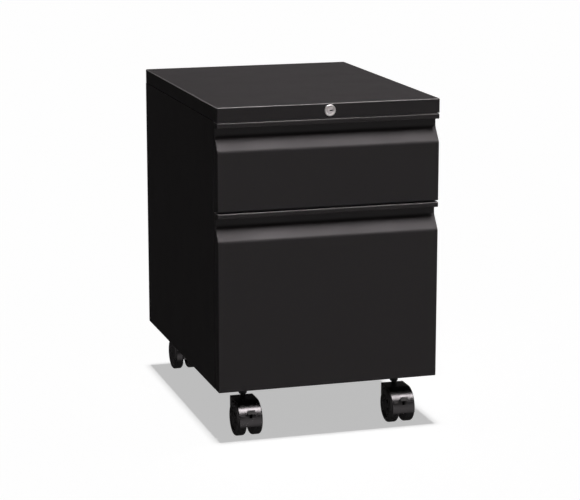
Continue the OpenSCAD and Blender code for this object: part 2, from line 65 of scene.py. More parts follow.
def new_object(name, mesh_or_bm, smooth=40):
    """An object made from a mesh or a bmesh, with soft shading below an angle."""
    if isinstance(mesh_or_bm, bmesh.types.BMesh):
        mesh = bpy.data.meshes.new(name)
        mesh_or_bm.normal_update()
        mesh_or_bm.to_mesh(mesh)
        mesh_or_bm.free()
    else:
        mesh = mesh_or_bm
    obj = bpy.data.objects.new(name, mesh)
    bpy.context.collection.objects.link(obj)
    mesh.shade_smooth()
    mesh.set_sharp_from_angle(angle=math.radians(smooth))
    return obj


def baked(obj):
    """Replaces an object's mesh by what its modifiers make of it."""
    graph = bpy.context.evaluated_depsgraph_get()
    mesh = bpy.data.meshes.new_from_object(obj.evaluated_get(graph))
    old = obj.data
    obj.modifiers.clear()
    obj.data = mesh
    bpy.data.meshes.remove(old)
    return obj


def joined(name, objects, smooth=40):
    """One object from several; the others are removed."""
    bm = bmesh.new()
    for obj in objects:
        bm.from_mesh(obj.data)
        mesh = obj.data
        bpy.data.objects.remove(obj)
        bpy.data.meshes.remove(mesh)
    return new_object(name, bm, smooth)


def place(piece, body, slot, material, *nodes):
    """Gives a piece its material and body, and hides the CAD nodes that it stands for; slot is not
    used.
    """
    piece.data.materials.clear()
    piece.data.materials.append(material)
    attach(piece, body)
    if nodes:
        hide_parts(*nodes)
    return piece


def bevel(obj, width, segments=3, angle=35):
    mod = obj.modifiers.new("edge_radius", "BEVEL")
    mod.width = width
    mod.segments = segments
    mod.limit_method = "ANGLE"
    mod.angle_limit = math.radians(angle)
    mod.harden_normals = False
    mod.use_clamp_overlap = True
    return mod


# ---------- outlines ----------

def unit(v):
    return v / v.length


def round_corner(a, b, c, radius, steps):
    """Points of an arc that rounds the corner b between a and c."""
    if radius <= 0:
        return [b.copy()]
    u, v = unit(a - b), unit(c - b)
    half = math.acos(max(-1.0, min(1.0, u.dot(v)))) / 2
    centre = b + unit(u + v) * (radius / math.sin(half))
    start = b + u * (radius / math.tan(half)) - centre
    end = b + v * (radius / math.tan(half)) - centre
    a0 = math.atan2(start.y, start.x)
    swing = math.atan2(end.y, end.x) - a0
    swing = (swing + math.pi) % (2 * math.pi) - math.pi
    angles = [a0 + swing * i / steps for i in range(steps + 1)]
    return [centre + radius * Vector((math.cos(angle), math.sin(angle))) for angle in angles]


def rounded_outline(points, radii, steps=6, closed=True):
    """Outline in 2-D with each corner rounded to its own radius."""
    points = [Vector(p) for p in points]
    count = len(points)
    out = []
    for i, point in enumerate(points):
        if not closed and i in (0, count - 1):
            out.append(point)
            continue
        out += round_corner(points[i - 1], point, points[(i + 1) % count], radii[i], steps)
    return out


def inset_outline(points, distance, closed=True):
    """Outline moved to its left by a distance, with mitred corners."""
    count = len(points)
    out = []
    for i, point in enumerate(points):
        before = points[i - 1] if closed or i > 0 else None
        after = points[(i + 1) % count] if closed or i < count - 1 else None
        u = unit(point - before) if before is not None else unit(after - point)
        v = unit(after - point) if after is not None else u
        a, b = Vector((-u.y, u.x)), Vector((-v.y, v.x))
        out.append(point + (a + b) * (distance / (1 + a.dot(b))))
    return out


def sweep(name, outline, positions, axis, smooth=40):
    """A closed solid: an outline run straight along an axis, with flat ends.

    The outline's two coordinates are the other two axes in X, Y, Z order.
    """
    bm = bmesh.new()
    others = [i for i in range(3) if i != axis]
    rings = []
    for position in positions:
        ring = []
        for p in outline:
            co = [0.0, 0.0, 0.0]
            co[axis] = position
            co[others[0]], co[others[1]] = p.x, p.y
            ring.append(bm.verts.new(co))
        rings.append(ring)
    count = len(outline)
    for first, second in zip(rings, rings[1:]):
        for i in range(count):
            j = (i + 1) % count
            bm.faces.new((first[i], first[j], second[j], second[i]))
    bm.faces.new(rings[0])
    bm.faces.new(rings[-1])
    bmesh.ops.recalc_face_normals(bm, faces=bm.faces)
    return new_object(name, bm, smooth)


def folded_sheet(name, path, thickness, bend, positions, axis, smooth=40):
    """A bent strip of sheet metal: a path on its outer face, thickened to the left."""
    radii = [bend] * len(path)
    outer = rounded_outline(path, radii, closed=False)
    inner = inset_outline(outer, thickness, closed=False)
    return sweep(name, outer + inner[::-1], positions, axis, smooth)


def lathe(name, profile, centre, direction, steps=96, smooth=40):
    """A turned solid: (distance along the axis, radius) points spun round an axis.

    A profile that starts and ends at radius 0 closes the solid.
    """
    bm = bmesh.new()
    turn = Vector((0, 0, 1)).rotation_difference(Vector(direction)).to_matrix()
    rings = []
    for along, radius in profile:
        count = 1 if radius <= 0 else steps
        ring = []
        for i in range(count):
            angle = 2 * math.pi * i / steps
            local = Vector((radius * math.cos(angle), radius * math.sin(angle), along))
            ring.append(bm.verts.new(Vector(centre) + turn @ local))
        rings.append(ring)
    pairs = list(zip(rings, rings[1:]))
    if profile[0][1] > 0 and profile[-1][1] > 0:
        pairs.append((rings[-1], rings[0]))
    for first, second in pairs:
        for i in range(steps):
            j = (i + 1) % steps
            corners = [first[i % len(first)], first[j % len(first)],
                       second[j % len(second)], second[i % len(second)]]
            corners = list(dict.fromkeys(corners))
            if len(corners) > 2:
                bm.faces.new(corners)
    bmesh.ops.recalc_face_normals(bm, faces=bm.faces)
    return new_object(name, bm, smooth)


def block(name, low, high, smooth=40):
    """A box solid between two corners."""
    bm = bmesh.new()
    bmesh.ops.create_cube(bm, size=1.0)
    low, high = Vector(low), Vector(high)
    for vert in bm.verts:
        vert.co = Vector(low[i] + (vert.co[i] + 0.5) * (high[i] - low[i]) for i in range(3))
    return new_object(name, bm, smooth)


def cut(obj, *cutters):
    """Takes solids away from an object and removes them."""
    for cutter in cutters:
        mod = obj.modifiers.new("cut", "BOOLEAN")
        mod.operation = "DIFFERENCE"
        mod.solver = "EXACT"
        mod.object = cutter
        baked(obj)
        mesh = cutter.data
        bpy.data.objects.remove(cutter)
        bpy.data.meshes.remove(mesh)
    return obj


# ---------- materials ----------

class Nodes:
    """A short way to write shader nodes."""

    def __init__(self, name):
        self.material = bpy.data.materials.new(name)
        self.material.use_nodes = True
        self.tree = self.material.node_tree
        self.shader = self.tree.nodes["Principled BSDF"]

    def add(self, kind, **inputs):
        node = self.tree.nodes.new(kind)
        for key, value in inputs.items():
            self.put(node, key.replace("_", " "), value)
        return node

    def put(self, node, key, value):
        """Links a socket, or sets a number."""
        if isinstance(value, bpy.types.NodeSocket):
            self.tree.links.new(value, node.inputs[key])
        else:
            node.inputs[key].default_value = value

    def coords(self):
        return self.add("ShaderNodeTexCoord").outputs["Object"]

    def noise(self, scale, detail=2.0, rough=0.5, at=None):
        node = self.add("ShaderNodeTexNoise", Scale=scale, Detail=detail, Roughness=rough)
        self.tree.links.new(at or self.coords(), node.inputs["Vector"])
        return node.outputs["Fac"]

    def ramp(self, fac, low, high, from_low=0.3, from_high=0.7):
        """Maps a factor to a number between low and high."""
        node = self.tree.nodes.new("ShaderNodeMapRange")
        self.put(node, "Value", fac)
        self.put(node, "From Min", from_low)
        self.put(node, "From Max", from_high)
        self.put(node, "To Min", low)
        self.put(node, "To Max", high)
        return node.outputs["Result"]

    def blend(self, fac, a, b):
        """Colour between a and b."""
        node = self.tree.nodes.new("ShaderNodeMix")
        node.data_type = "RGBA"
        for socket, value in (("Factor", fac), ("A", a), ("B", b)):
            found = [s for s in node.inputs if s.name == socket and s.enabled][0]
            if isinstance(value, bpy.types.NodeSocket):
                self.tree.links.new(value, found)
            else:
                found.default_value = (*value, 1.0) if socket != "Factor" else value
        return [s for s in node.outputs if s.enabled][0]

    def product(self, a, b):
        """Product of two sockets."""
        node = self.tree.nodes.new("ShaderNodeMath")
        node.operation = "MULTIPLY"
        self.tree.links.new(a, node.inputs[0])
        self.tree.links.new(b, node.inputs[1])
        return node.outputs[0]

    def mix(self, fac, a, b):
        """Number between a, a socket, and b."""
        node = self.tree.nodes.new("ShaderNodeMapRange")
        self.put(node, "Value", fac)
        self.put(node, "To Min", a)
        self.put(node, "To Max", b)
        return node.outputs["Result"]

    def bump(self, height, strength, distance, normal=None):
        node = self.add("ShaderNodeBump", Height=height, Strength=strength, Distance=distance)
        if normal is not None:
            self.put(node, "Normal", normal)
        return node.outputs["Normal"]

    def surface(self, **inputs):
        for key, value in inputs.items():
            self.put(self.shader, key.replace("_", " "), value)
        return self.material


def total(tree, values):
    """Sum of sockets."""
    result = values[0]
    for value in values[1:]:
        add = tree.nodes.new("ShaderNodeMath")
        tree.links.new(result, add.inputs[0])
        tree.links.new(value, add.inputs[1])
        result = add.outputs[0]
    return result


def painted_highlight_mask(n, lip_tops=()):
    """Mask of the painted highlight: 1 on rounded upper edges; with lip_tops, only near those
    heights.
    """
    facing = n.tree.nodes.new("ShaderNodeTexCoord").outputs["Normal"]
    normal = n.add("ShaderNodeSeparateXYZ", Vector=facing)
    rising = n.ramp(normal.outputs["Z"], 0.0, 1.0, 0.20, 0.45)
    falling = n.ramp(normal.outputs["Z"], 1.0, 0.0, 0.85, 0.97)
    mask = n.product(rising, falling)
    if not lip_tops:
        return mask
    height = n.add("ShaderNodeSeparateXYZ", Vector=n.coords()).outputs["Z"]
    near = [n.product(n.ramp(height, 0.0, 1.0, top - 0.0030, top - 0.0015),
                      n.ramp(height, 1.0, 0.0, top + 0.0005, top + 0.0015)) for top in lip_tops]
    return n.product(mask, total(n.tree, near))


# Pale tone of the painted highlight on rounded upper edges.
PAINTED_HIGHLIGHT_TONE = (0.26, 0.25, 0.25)


def powder_coat(name, tone, roughness=0.42, specular=0.3, painted_highlight_at=None):
    """Satin black powder coat: fine orange peel, faint clouding, and a painted highlight on rounded
    upper edges.

    The last argument is None for no painted highlight, or the heights that its mask takes; empty
    means all rounded upper edges.
    """
    n = Nodes(name)
    at = n.coords()
    cloud = n.noise(9.0, 3.0, 0.55, at)
    peel = n.noise(950.0, 2.0, 0.5, at)
    coarse = n.noise(260.0, 2.0, 0.5, at)
    dark = tuple(c * 0.86 for c in tone)
    light = tuple(c * 1.14 for c in tone)
    colour = n.blend(n.ramp(cloud, 0.0, 1.0), dark, light)
    rough = n.ramp(cloud, roughness - 0.03, roughness + 0.04)
    if painted_highlight_at is not None:
        # Painted highlight: rounded upper edges turn this pale tone and glossier, patchy with noise.
        highlight_mask = n.product(painted_highlight_mask(n, painted_highlight_at), n.ramp(n.noise(120.0, 3.0, 0.6, at), 0.7, 1.0))
        colour = n.blend(highlight_mask, colour, PAINTED_HIGHLIGHT_TONE)
        rough = n.mix(highlight_mask, rough, 0.30)
    normal = n.bump(coarse, 0.10, 0.00008)
    normal = n.bump(peel, 0.16, 0.00005, normal)
    return n.surface(Base_Color=colour, Roughness=rough, Normal=normal, Specular_IOR_Level=specular)


def plated(name, tone, roughness=0.3, grain_axis=1, grain=1.0, shade_behind=None):
    """Zinc or nickel plate: drawn grain along one axis and a little clouding.

    The last argument is the y of a face, or None; what lies over a millimetre behind that face gets
    painted shade, near black and rough.
    """
    n = Nodes(name)
    at = n.coords()
    stretch = n.tree.nodes.new("ShaderNodeMapping")
    n.tree.links.new(at, stretch.inputs["Vector"])
    scale = [1400.0, 1400.0, 1400.0]
    scale[grain_axis] = 25.0
    stretch.inputs["Scale"].default_value = scale
    lines = n.noise(1.0, 3.0, 0.6, stretch.outputs["Vector"])
    cloud = n.noise(60.0, 3.0, 0.6, at)
    dark = tuple(c * 0.8 for c in tone)
    colour = n.blend(n.ramp(cloud, 0.0, 1.0), dark, tone)
    rough = n.ramp(lines, roughness - 0.06, roughness + 0.1)
    # Painted shade: the keyway, over a millimetre behind the given face, is made near black and
    # rough.
    if shade_behind is not None:
        behind = n.add("ShaderNodeSeparateXYZ", Vector=at).outputs["Y"]
        keyway_shade = n.ramp(behind, 0.0, 1.0, shade_behind + 0.6 * MM, shade_behind + 1.2 * MM)
        colour = n.blend(keyway_shade, colour, (0.006, 0.006, 0.006))
        rough = n.mix(keyway_shade, rough, 0.8)
    normal = n.bump(lines, 0.08 * grain, 0.00003)
    return n.surface(Base_Color=colour, Metallic=1.0, Roughness=rough, Normal=normal)


def moulded(name, tone, roughness=0.3, texture=0.1, specular=0.5):
    """Moulded nylon: a light spark-eroded texture and slight sink and flow marks."""
    n = Nodes(name)
    at = n.coords()
    fine = n.noise(1600.0, 2.0, 0.5, at)
    flow = n.noise(70.0, 2.0, 0.5, at)
    dark = tuple(c * 0.8 for c in tone)
    colour = n.blend(n.ramp(flow, 0.0, 1.0), dark, tone)
    rough = n.ramp(flow, roughness - 0.04, roughness + 0.06)
    normal = n.bump(flow, 0.05, 0.0002)
    normal = n.bump(fine, texture, 0.00003, normal)
    return n.surface(Base_Color=colour, Roughness=rough, Normal=normal, Specular_IOR_Level=specular)


def cast_plate(name):
    """Oiled plate steel with mill scale."""
    n = Nodes(name)
    at = n.coords()
    scale_marks = n.noise(45.0, 5.0, 0.65, at)
    colour = n.blend(n.ramp(scale_marks, 0.0, 1.0), (0.02, 0.02, 0.022), (0.075, 0.07, 0.066))
    rough = n.ramp(scale_marks, 0.35, 0.7)
    normal = n.bump(scale_marks, 0.2, 0.0003)
    return n.surface(Base_Color=colour, Roughness=rough, Normal=normal, Metallic=0.6)


BLACK = (0.0066, 0.0058, 0.0058)
LIP_TOPS = [span(drawer + "_drawer_front")[1].z for drawer in ("box", "file")]
MATERIALS = {
    "case_paint": powder_coat("case_powder_coat", BLACK, 0.55, 0.5),
    "cap_paint": powder_coat("cap_powder_coat", BLACK, 0.50, 0.45, painted_highlight_at=()),
    "front_paint": powder_coat("front_powder_coat", BLACK, 0.58, 0.5, painted_highlight_at=LIP_TOPS),
    "drawer_paint": powder_coat("drawer_powder_coat", (0.014, 0.014, 0.0145), 0.5),
    "inner_steel": powder_coat("inner_powder_coat", (0.014, 0.014, 0.0145), 0.5),
    "counterweight_steel": cast_plate("oiled_plate"),
    "zinc_steel": plated("zinc_plate", (0.55, 0.56, 0.57), 0.32),
    "bearing_steel": plated("bearing_steel", (0.45, 0.45, 0.45), 0.25),
    "nickel": plated("satin_nickel", (0.86, 0.85, 0.83), 0.45, grain=0.5),
    "bumper_rubber": moulded("bumper_rubber", (0.01, 0.01, 0.01), 0.7, 0.2, 0.3),
    "hood_plastic": moulded("hood_nylon", (0.012, 0.0117, 0.0117), 0.30, specular=0.9),
    "brake_plastic": moulded("brake_nylon", (0.09, 0.086, 0.085), 0.4),
    "wheel_plastic": moulded("wheel_nylon", (0.012, 0.0117, 0.0117), 0.28, specular=0.9),
}
# Satin nickel with painted shade deep in the keyway.
KEYWAY_NICKEL = plated("keyway_nickel", (0.86, 0.85, 0.83), 0.45, grain=0.5,
                       shade_behind=span("lock_plug")[0].y)
SLOT_OF = {row["node"]: row["material_slot"] for row in frame["record"]["subparts"]}
BODY_OF = {
    node: body for body, nodes in frame["record"]["behaviour"]["bodies"].items() for node in nodes
}


def finish_cad_nodes(replaced):
    """Materials and small edge radii on the CAD nodes that stay."""
    for name, obj in NODES.items():
        if name in replaced:
            continue
        obj.data.materials.clear()
        obj.data.materials.append(MATERIALS[SLOT_OF[name]])
        weld = obj.modifiers.new("weld", "WELD")
        weld.merge_threshold = 0.00001
        bevel(obj, 0.0003, 2, 50)


# ---------- formed sheet-metal skins ----------

SHEET = 1.0 * MM
FRONT_OUTLINE_TOP = [(22, 0), (0, 0), (0, -8.5), (18, -9.5), (18, -23), (0, -47)]
FRONT_RADII = [0, 1.5, 1.2, 3, 8, 10, 2, 0]


def rounded_end_sweep(name, outline, low, high, radius, axis, keep=None, steps=4):
    """An outline run along an axis, with the edges of both ends rounded.

    keep(point, inset point) may put points back that the rounding shouldn't move.
    """
    bm = bmesh.new()
    others = [i for i in range(3) if i != axis]
    levels = []
    for i in range(steps + 1):
        angle = math.pi / 2 * i / steps
        levels.append((radius * (1 - math.sin(angle)), radius * (1 - math.cos(angle))))
    stations = [(low + back, shrink) for back, shrink in levels[::-1]]
    stations += [(high - back, shrink) for back, shrink in levels]
    rings = []
    for position, shrink in stations:
        points = inset_outline(outline, shrink) if shrink > 0 else outline
        ring = []
        for before, point in zip(outline, points):
            point = keep(before, point) if keep else point
            co = [0.0, 0.0, 0.0]
            co[axis] = position
            co[others[0]], co[others[1]] = point.x, point.y
            ring.append(bm.verts.new(co))
        rings.append(ring)
    count = len(outline)
    for first, second in zip(rings, rings[1:]):
        for i in range(count):
            j = (i + 1) % count
            bm.faces.new((first[i], first[j], second[j], second[i]))
    bm.faces.new(rings[0])
    bm.faces.new(rings[-1])
    bmesh.ops.recalc_face_normals(bm, faces=bm.faces)
    return new_object(name, bm)


def drawer_front(node):
    """The pressed front of a drawer: pull lip, finger recess, slope and flat, open at the back."""
    low, high = span(node)
    depth = high.y - low.y
    height = (high.z - low.z) / MM
    corners = FRONT_OUTLINE_TOP + [(0, -height), (22, -height)]
    corners[0] = (depth / MM, 0)
    corners[-1] = (depth / MM, -height)
    local = rounded_outline(corners, FRONT_RADII, 8)
    outline = [Vector((low.y + p.x * MM, high.z + p.y * MM)) for p in local]

    def keep_back(before, point):
        return Vector((high.y, point.y)) if abs(before.x - high.y) < 1e-7 else point

    skin = rounded_end_sweep(node + "_skin", outline, low.x, high.x, 1.0 * MM, 0, keep_back)
    hollow_outline = inset_outline(outline, SHEET)
    hollow_outline[0].x = hollow_outline[-1].x = high.y + SHEET
    hollow = sweep("hollow", hollow_outline, [low.x + SHEET, high.x - SHEET], 0)
    cut(skin, hollow)
    return finished(skin)


def finished(obj, smooth=40):
    """Soft shading again after the cuts, with the flat faces keeping flat normals."""
    bm = bmesh.new()
    bm.from_mesh(obj.data)
    bmesh.ops.remove_doubles(bm, verts=bm.verts, dist=1e-6)
    bmesh.ops.dissolve_degenerate(bm, edges=bm.edges, dist=1e-6)
    bm.to_mesh(obj.data)
    bm.free()
    obj.data.shade_smooth()
    obj.data.set_sharp_from_angle(angle=math.radians(smooth))
    weighted = obj.modifiers.new("flat_faces_stay_flat", "WEIGHTED_NORMAL")
    weighted.keep_sharp = True
    return obj


def fuse(obj, *others):
    """Adds solids to an object and removes them."""
    for other in others:
        mod = obj.modifiers.new("fuse", "BOOLEAN")
        mod.operation = "UNION"
        mod.solver = "EXACT"
        mod.object = other
        baked(obj)
        mesh = other.data
        bpy.data.objects.remove(other)
        bpy.data.meshes.remove(mesh)
    return obj


def rectangle(x0, y0, x1, y1):
    """Corners of a rectangle, counter-clockwise."""
    return [Vector((x0, y0)), Vector((x1, y0)), Vector((x1, y1)), Vector((x0, y1))]


def cylinder(name, centre, direction, radius, length, steps=96):
    """A plain cylinder, as a cutter or a core, from centre along direction."""
    profile = [(0, 0), (0, radius), (length, radius), (length, 0)]
    return lathe(name, profile, centre, direction, steps)


def cap_skin():
    """The top: a pan turned upside down, with rolled top edges and rounded corners."""
    low, high = span("top_cap")
    outline = rounded_outline(rectangle(low.x, low.y, high.x, high.y), [2.2 * MM] * 4, 8)
    bm = bmesh.new()
    roll = 1.8 * MM
    levels = [(low.z, 0.0)]
    for i in range(7):
        angle = math.pi / 2 * i / 6
        levels.append((high.z - roll * (1 - math.sin(angle)), roll * (1 - math.cos(angle))))
    rings = []
    for z, shrink in levels:
        points = inset_outline(outline, shrink) if shrink > 0 else outline
        rings.append([bm.verts.new((p.x, p.y, z)) for p in points])
    count = len(outline)
    for first, second in zip(rings, rings[1:]):
        for i in range(count):
            j = (i + 1) % count
            bm.faces.new((first[i], first[j], second[j], second[i]))
    bm.faces.new(rings[0])
    bm.faces.new(rings[-1])
    bmesh.ops.recalc_face_normals(bm, faces=bm.faces)
    skin = new_object("top_cap_skin", bm)
    inner = rounded_outline(
        rectangle(low.x + SHEET, low.y + SHEET, high.x - SHEET, high.y - SHEET), [1.2 * MM] * 4, 5)
    cut(skin, sweep("hollow", inner, [low.z - SHEET, high.z - SHEET], 2))
    hem = block("hem", (low.x + 0.6 * SHEET, low.y + 0.6 * SHEET, low.z),
                (high.x - 0.6 * SHEET, low.y + 12 * MM, low.z + SHEET))
    fuse(skin, hem)
    lock_low, lock_high = span("lock_housing")
    middle = (lock_low + lock_high) / 2
    hole = cylinder("hole", (middle.x, low.y - 5 * MM, middle.z), (0, 1, 0), 7.92 * MM, 8 * MM)
    return finished(cut(skin, hole))


def side_skin(side):
    """A wall folded at its front flange, bottom return and stepped top."""
    name = "left_side_panel" if side < 0 else "right_side_panel"
    low, high = span("left_side_panel")
    wall, front, back = low.x, low.y, high.y
    inner = high.x
    wall_top = 534 * MM
    step_x = wall + 1.8 * MM
    body = folded_sheet(
        name + "_skin",
        [(wall, back), (wall, front), (inner, front), (inner, front + 10 * MM)],
        SHEET, 1.6 * MM, [low.z + 1.6 * MM, wall_top], 2)
    hem = folded_sheet(
        "hem",
        [(wall, low.z + 2.4 * MM), (wall, low.z), (wall + 12 * MM, low.z)],
        SHEET, 1.5 * MM, [front + 1.0 * MM, back - SHEET], 1)
    step = folded_sheet(
        "step",
        [(step_x, high.z), (step_x, wall_top), (wall + 0.3 * MM, wall_top)],
        SHEET, 0.7 * MM, [front + 2 * SHEET, back - SHEET - 0.3 * MM], 1)
    fuse(body, hem, step)
    if side > 0:
        body.data.transform(Matrix.Scale(-1, 4, (1, 0, 0)))
        body.data.flip_normals()
    return finished(body)


# ---------- lock ----------

def lock_ring():
    """Flanged barrel with a rounded rim and a shallow cup round the plug."""
    low, high = span("lock_housing")
    x, z = (low.x + high.x) / 2, (low.z + high.z) / 2
    rim = (high.x - low.x) / 2
    plug = (span("lock_plug")[1].x - span("lock_plug")[0].x) / 2 + 0.05 * MM
    barrel = 7.9 * MM
    skirt = 2.5 * MM
    profile = [(high.y - low.y, plug), (0.9 * MM, plug), (0.35 * MM, plug + 0.35 * MM),
               (0.15 * MM, plug + 0.9 * MM), (0.0, plug + 1.4 * MM)]
    for i in range(1, ARC_STEPS + 1):
        angle = math.pi / 2 * i / ARC_STEPS
        profile.append((1.3 * MM * (1 - math.cos(angle)), rim - 1.3 * MM * (1 - math.sin(angle))))
    profile += [(skirt - 0.15 * MM, rim), (skirt, rim - 0.15 * MM), (skirt, barrel),
                (high.y - low.y - 0.4 * MM, barrel), (high.y - low.y, barrel - 0.4 * MM)]
    ring = lathe("lock_ring", profile, (x, low.y, z), (0, 1, 0))
    return finished(ring)


def lock_face():
    """The plug, with its keyway across to the right and a small pin at the warded side."""
    low, high = span("lock_plug")
    x, z = (low.x + high.x) / 2, (low.z + high.z) / 2
    radius = (high.x - low.x) / 2
    length = high.y - low.y
    profile = [(0, 0), (0, radius - 0.5 * MM), (0.15 * MM, radius - 0.15 * MM), (0.5 * MM, radius),
               (length, radius), (length, 0)]
    plug = lathe("lock_plug_face", profile, (x, low.y, z), (0, 1, 0))
    mouth, end = low.y - 2 * MM, high.y - 6 * MM
    key = block("key", (x - 1 * MM, mouth, z - 1 * MM), (x + 5 * MM, end, z + 1 * MM))
    ward = block("ward", (x + 2.2 * MM, mouth, z - 1.7 * MM), (x + 3.4 * MM, end, z))
    cut(plug, fuse(key, ward))
    bevel(plug, 0.12 * MM, 2, 60)
    baked(plug)
    return finished(plug)


# ---------- casters ----------

HOOD_GAP = 1.2 * MM
HOOD_WALL = 2.0 * MM
TRAIL = 20 * MM  # from a swivel axis to its wheels' axle
CASE_BOTTOM = 85 * MM


def caster_frame(node):
    """Wheel centre, swivel axis and the direction from the swivel axis to the wheel."""
    place_name = node.split("caster_hood_")[1]
    wheel_a = span("wheel_" + place_name + "_a")
    radius = (wheel_a[1].z - wheel_a[0].z) / 2
    centre_y = (wheel_a[0].y + wheel_a[1].y) / 2
    centre_z = (wheel_a[0].z + wheel_a[1].z) / 2
    hood_low, hood_high = span(node)
    x = (hood_low.x + hood_high.x) / 2
    return x, centre_y, centre_z, radius, (-1 if "front" in place_name else 1)


def hood(node):
    """Twin-wheel fender: a rolled shell over both wheels on a middle web, with a swivel boss."""
    x, axle_y, axle_z, wheel_r, way = caster_frame(node)
    low, high = span(node)
    swivel_y = axle_y - way * TRAIL
    outer = wheel_r + HOOD_GAP + HOOD_WALL
    half_w = (high.x - low.x) / 2
    back = 9.5 * MM
    # outline in (distance in front of the swivel axis, height)
    points = [Vector((TRAIL, high.z)), Vector((-back, high.z)), Vector((-back, low.z))]
    drop = low.z - axle_z
    start = math.atan2(drop, math.sqrt(outer ** 2 - drop ** 2))
    steps = 40
    for i in range(steps):
        angle = start + (math.pi / 2 - start) * i / steps
        across, up = outer * math.cos(angle), outer * math.sin(angle)
        points.append(Vector((TRAIL + across, axle_z + up)))
    if way < 0:
        outline = [Vector((swivel_y - p.x, p.y)) for p in points][::-1]
    else:
        outline = [Vector((swivel_y + p.x, p.y)) for p in points]
    name = node.replace("caster_hood", "caster_fender")
    body = rounded_end_sweep(name, outline, x - half_w, x + half_w, 1.1 * MM, 0, steps=5)
    boss_r = 10 * MM
    boss_top = high.z - axle_z
    boss_profile = [
        (0, 0), (0, boss_r), (boss_top - 16.9 * MM, boss_r),
        (boss_top - 16.1 * MM, boss_r - 0.8 * MM), (boss_top - 16.1 * MM, 0),
    ]
    boss = lathe("boss", boss_profile, (x, swivel_y, axle_z + 16 * MM), (0, 0, 1))
    fuse(body, boss)
    web = 4.9 * MM
    rooms = []
    for side in (-1, 1):
        start_x = x + side * web
        rooms.append(cylinder("room", (start_x, axle_y, axle_z), (side, 0, 0),
                              wheel_r + HOOD_GAP, 40 * MM, 128))
    cut(body, *rooms)
    behind = swivel_y - way * 5.5 * MM
    far = swivel_y - way * TRAIL
    past_side = 30 * MM
    cut(body, block("behind", (x - past_side, min(behind, far), 0),
                    (x + past_side, max(behind, far), axle_z + 12 * MM)))
    cut(body, cylinder("bore", (x, swivel_y, high.z - 27 * MM), (0, 0, 1), 3.55 * MM, 40 * MM, 48))
    axle_r = span_radius(node.replace("caster_hood_", "caster_axle_"))
    cut(body, cylinder("axle", (x - past_side, axle_y, axle_z), (1, 0, 0), axle_r, 60 * MM, 48))
    if "front" in node:
        brake_y, brake_z = swivel_y - 40 * MM, axle_z + 15 * MM
        half_slot = 2.4 * MM
        pocket = block("pocket", (x - half_slot, brake_y - 20 * MM, brake_z - 7.5 * MM),
                       (x + half_slot, brake_y, brake_z + 3.5 * MM))
        rolled = cylinder("rolled", (x - half_slot, brake_y, brake_z), (1, 0, 0),
                          3.5 * MM, 2 * half_slot, 48)
        pin = cylinder("pin", (x - 4.4 * MM, brake_y, brake_z), (1, 0, 0), 1.55 * MM, 8.8 * MM, 32)
        cut(body, pocket, rolled, pin)
    return finished(body)


def span_radius(node):
    """Half the height of a round CAD node."""
    low, high = span(node)
    return (high.z - low.z) / 2


def wheel(node):
    """Nylon wheel: rounded shoulders, a dished outer face with a raised hub and a cap."""
    low, high = span(node)
    outward = -1 if node.endswith("_b") else 1
    x_in = low.x if outward > 0 else high.x
    y, z = (low.y + high.y) / 2, (low.z + high.z) / 2
    r = (high.z - low.z) / 2
    w = high.x - low.x
    shoulder = 4 * MM
    dish_r, dish_d = r - 9 * MM, 2.5 * MM
    axle_r = span_radius("caster_axle_" + node[6:-2]) + 0.05 * MM
    profile = [(w - 2.6 * MM, 0), (w - 2.6 * MM, axle_r), (0.3 * MM, axle_r), (0, axle_r + 0.3 * MM)]
    profile.append((0, r - shoulder))
    for i in range(1, ARC_STEPS + 1):
        angle = math.pi / 2 * i / ARC_STEPS
        profile.append((shoulder * (1 - math.cos(angle)), r - shoulder * (1 - math.sin(angle))))
    # a mould parting line round the tread
    line = 0.12 * MM
    profile += [(w / 2 - 0.5 * MM, r), (w / 2 - line, r - line), (w / 2 + line, r - line),
                (w / 2 + 0.5 * MM, r)]
    for i in range(ARC_STEPS + 1):
        angle = math.pi / 2 * i / ARC_STEPS
        profile.append((w - shoulder * (1 - math.sin(angle)), r - shoulder * (1 - math.cos(angle))))
    floor = w - dish_d
    # the dish's rim and wall
    profile += [
        (w - 0.05 * MM, dish_r + 0.8 * MM), (w - 0.5 * MM, dish_r + 0.15 * MM),
        (floor + 0.5 * MM, dish_r - 0.3 * MM), (floor + 0.1 * MM, dish_r - 0.9 * MM),
        (floor, dish_r - 1.4 * MM),
    ]
    # the hub, and its cap
    profile += [
        (floor, 9.8 * MM), (floor + 0.3 * MM, 9.2 * MM), (floor + 1.4 * MM, 8.9 * MM),
        (w - 0.75 * MM, 8.5 * MM), (w - 0.6 * MM, 7.9 * MM), (w - 0.6 * MM, 5.2 * MM),
        (w - 0.9 * MM, 4.9 * MM), (w - 0.9 * MM, 0),
    ]
    name = node.replace("wheel_", "wheel_tread_", 1)
    obj = lathe(name, profile, (x_in, y, z), (outward, 0, 0), 128)
    return finished(obj, 35)


def stems():
    """Black stems: press-fit top, rounded collar and narrow waist above each hood."""
    low, high = span("caster_stems")
    hood_top = span("caster_hood_front_left")[1].z
    collar = hood_top + 4 * MM
    collar_r, seat_r = 7 * MM, 5.5 * MM
    profile = [
        (low.z, 0), (low.z, 3.0 * MM), (low.z + 0.5 * MM, 3.5 * MM),
        (hood_top + 0.5 * MM, 3.5 * MM), (hood_top + 0.5 * MM, 3.85 * MM),
        (hood_top + 0.7 * MM, 4 * MM), (collar - 0.1 * MM, 4 * MM),
    ]
    for i in range(ARC_STEPS + 1):
        angle = math.pi / 2 * i / ARC_STEPS
        profile.append((collar + 3 * MM * (1 - math.cos(angle)),
                        collar_r - 2.6 * MM * (1 - math.sin(angle))))
    profile += [
        (CASE_BOTTOM, collar_r), (CASE_BOTTOM, seat_r), (high.z - 0.6 * MM, seat_r),
        (high.z, 4.9 * MM), (high.z, 0),
    ]
    pieces = []
    for end in ("front", "back"):
        for side in ("left", "right"):
            x, axle_y, _, _, way = caster_frame("caster_hood_" + end + "_" + side)
            pieces.append(lathe("stem", profile, (x, axle_y - way * TRAIL, 0), (0, 0, 1), 64))
    return finished(joined("caster_stem_collars", pieces), 50)


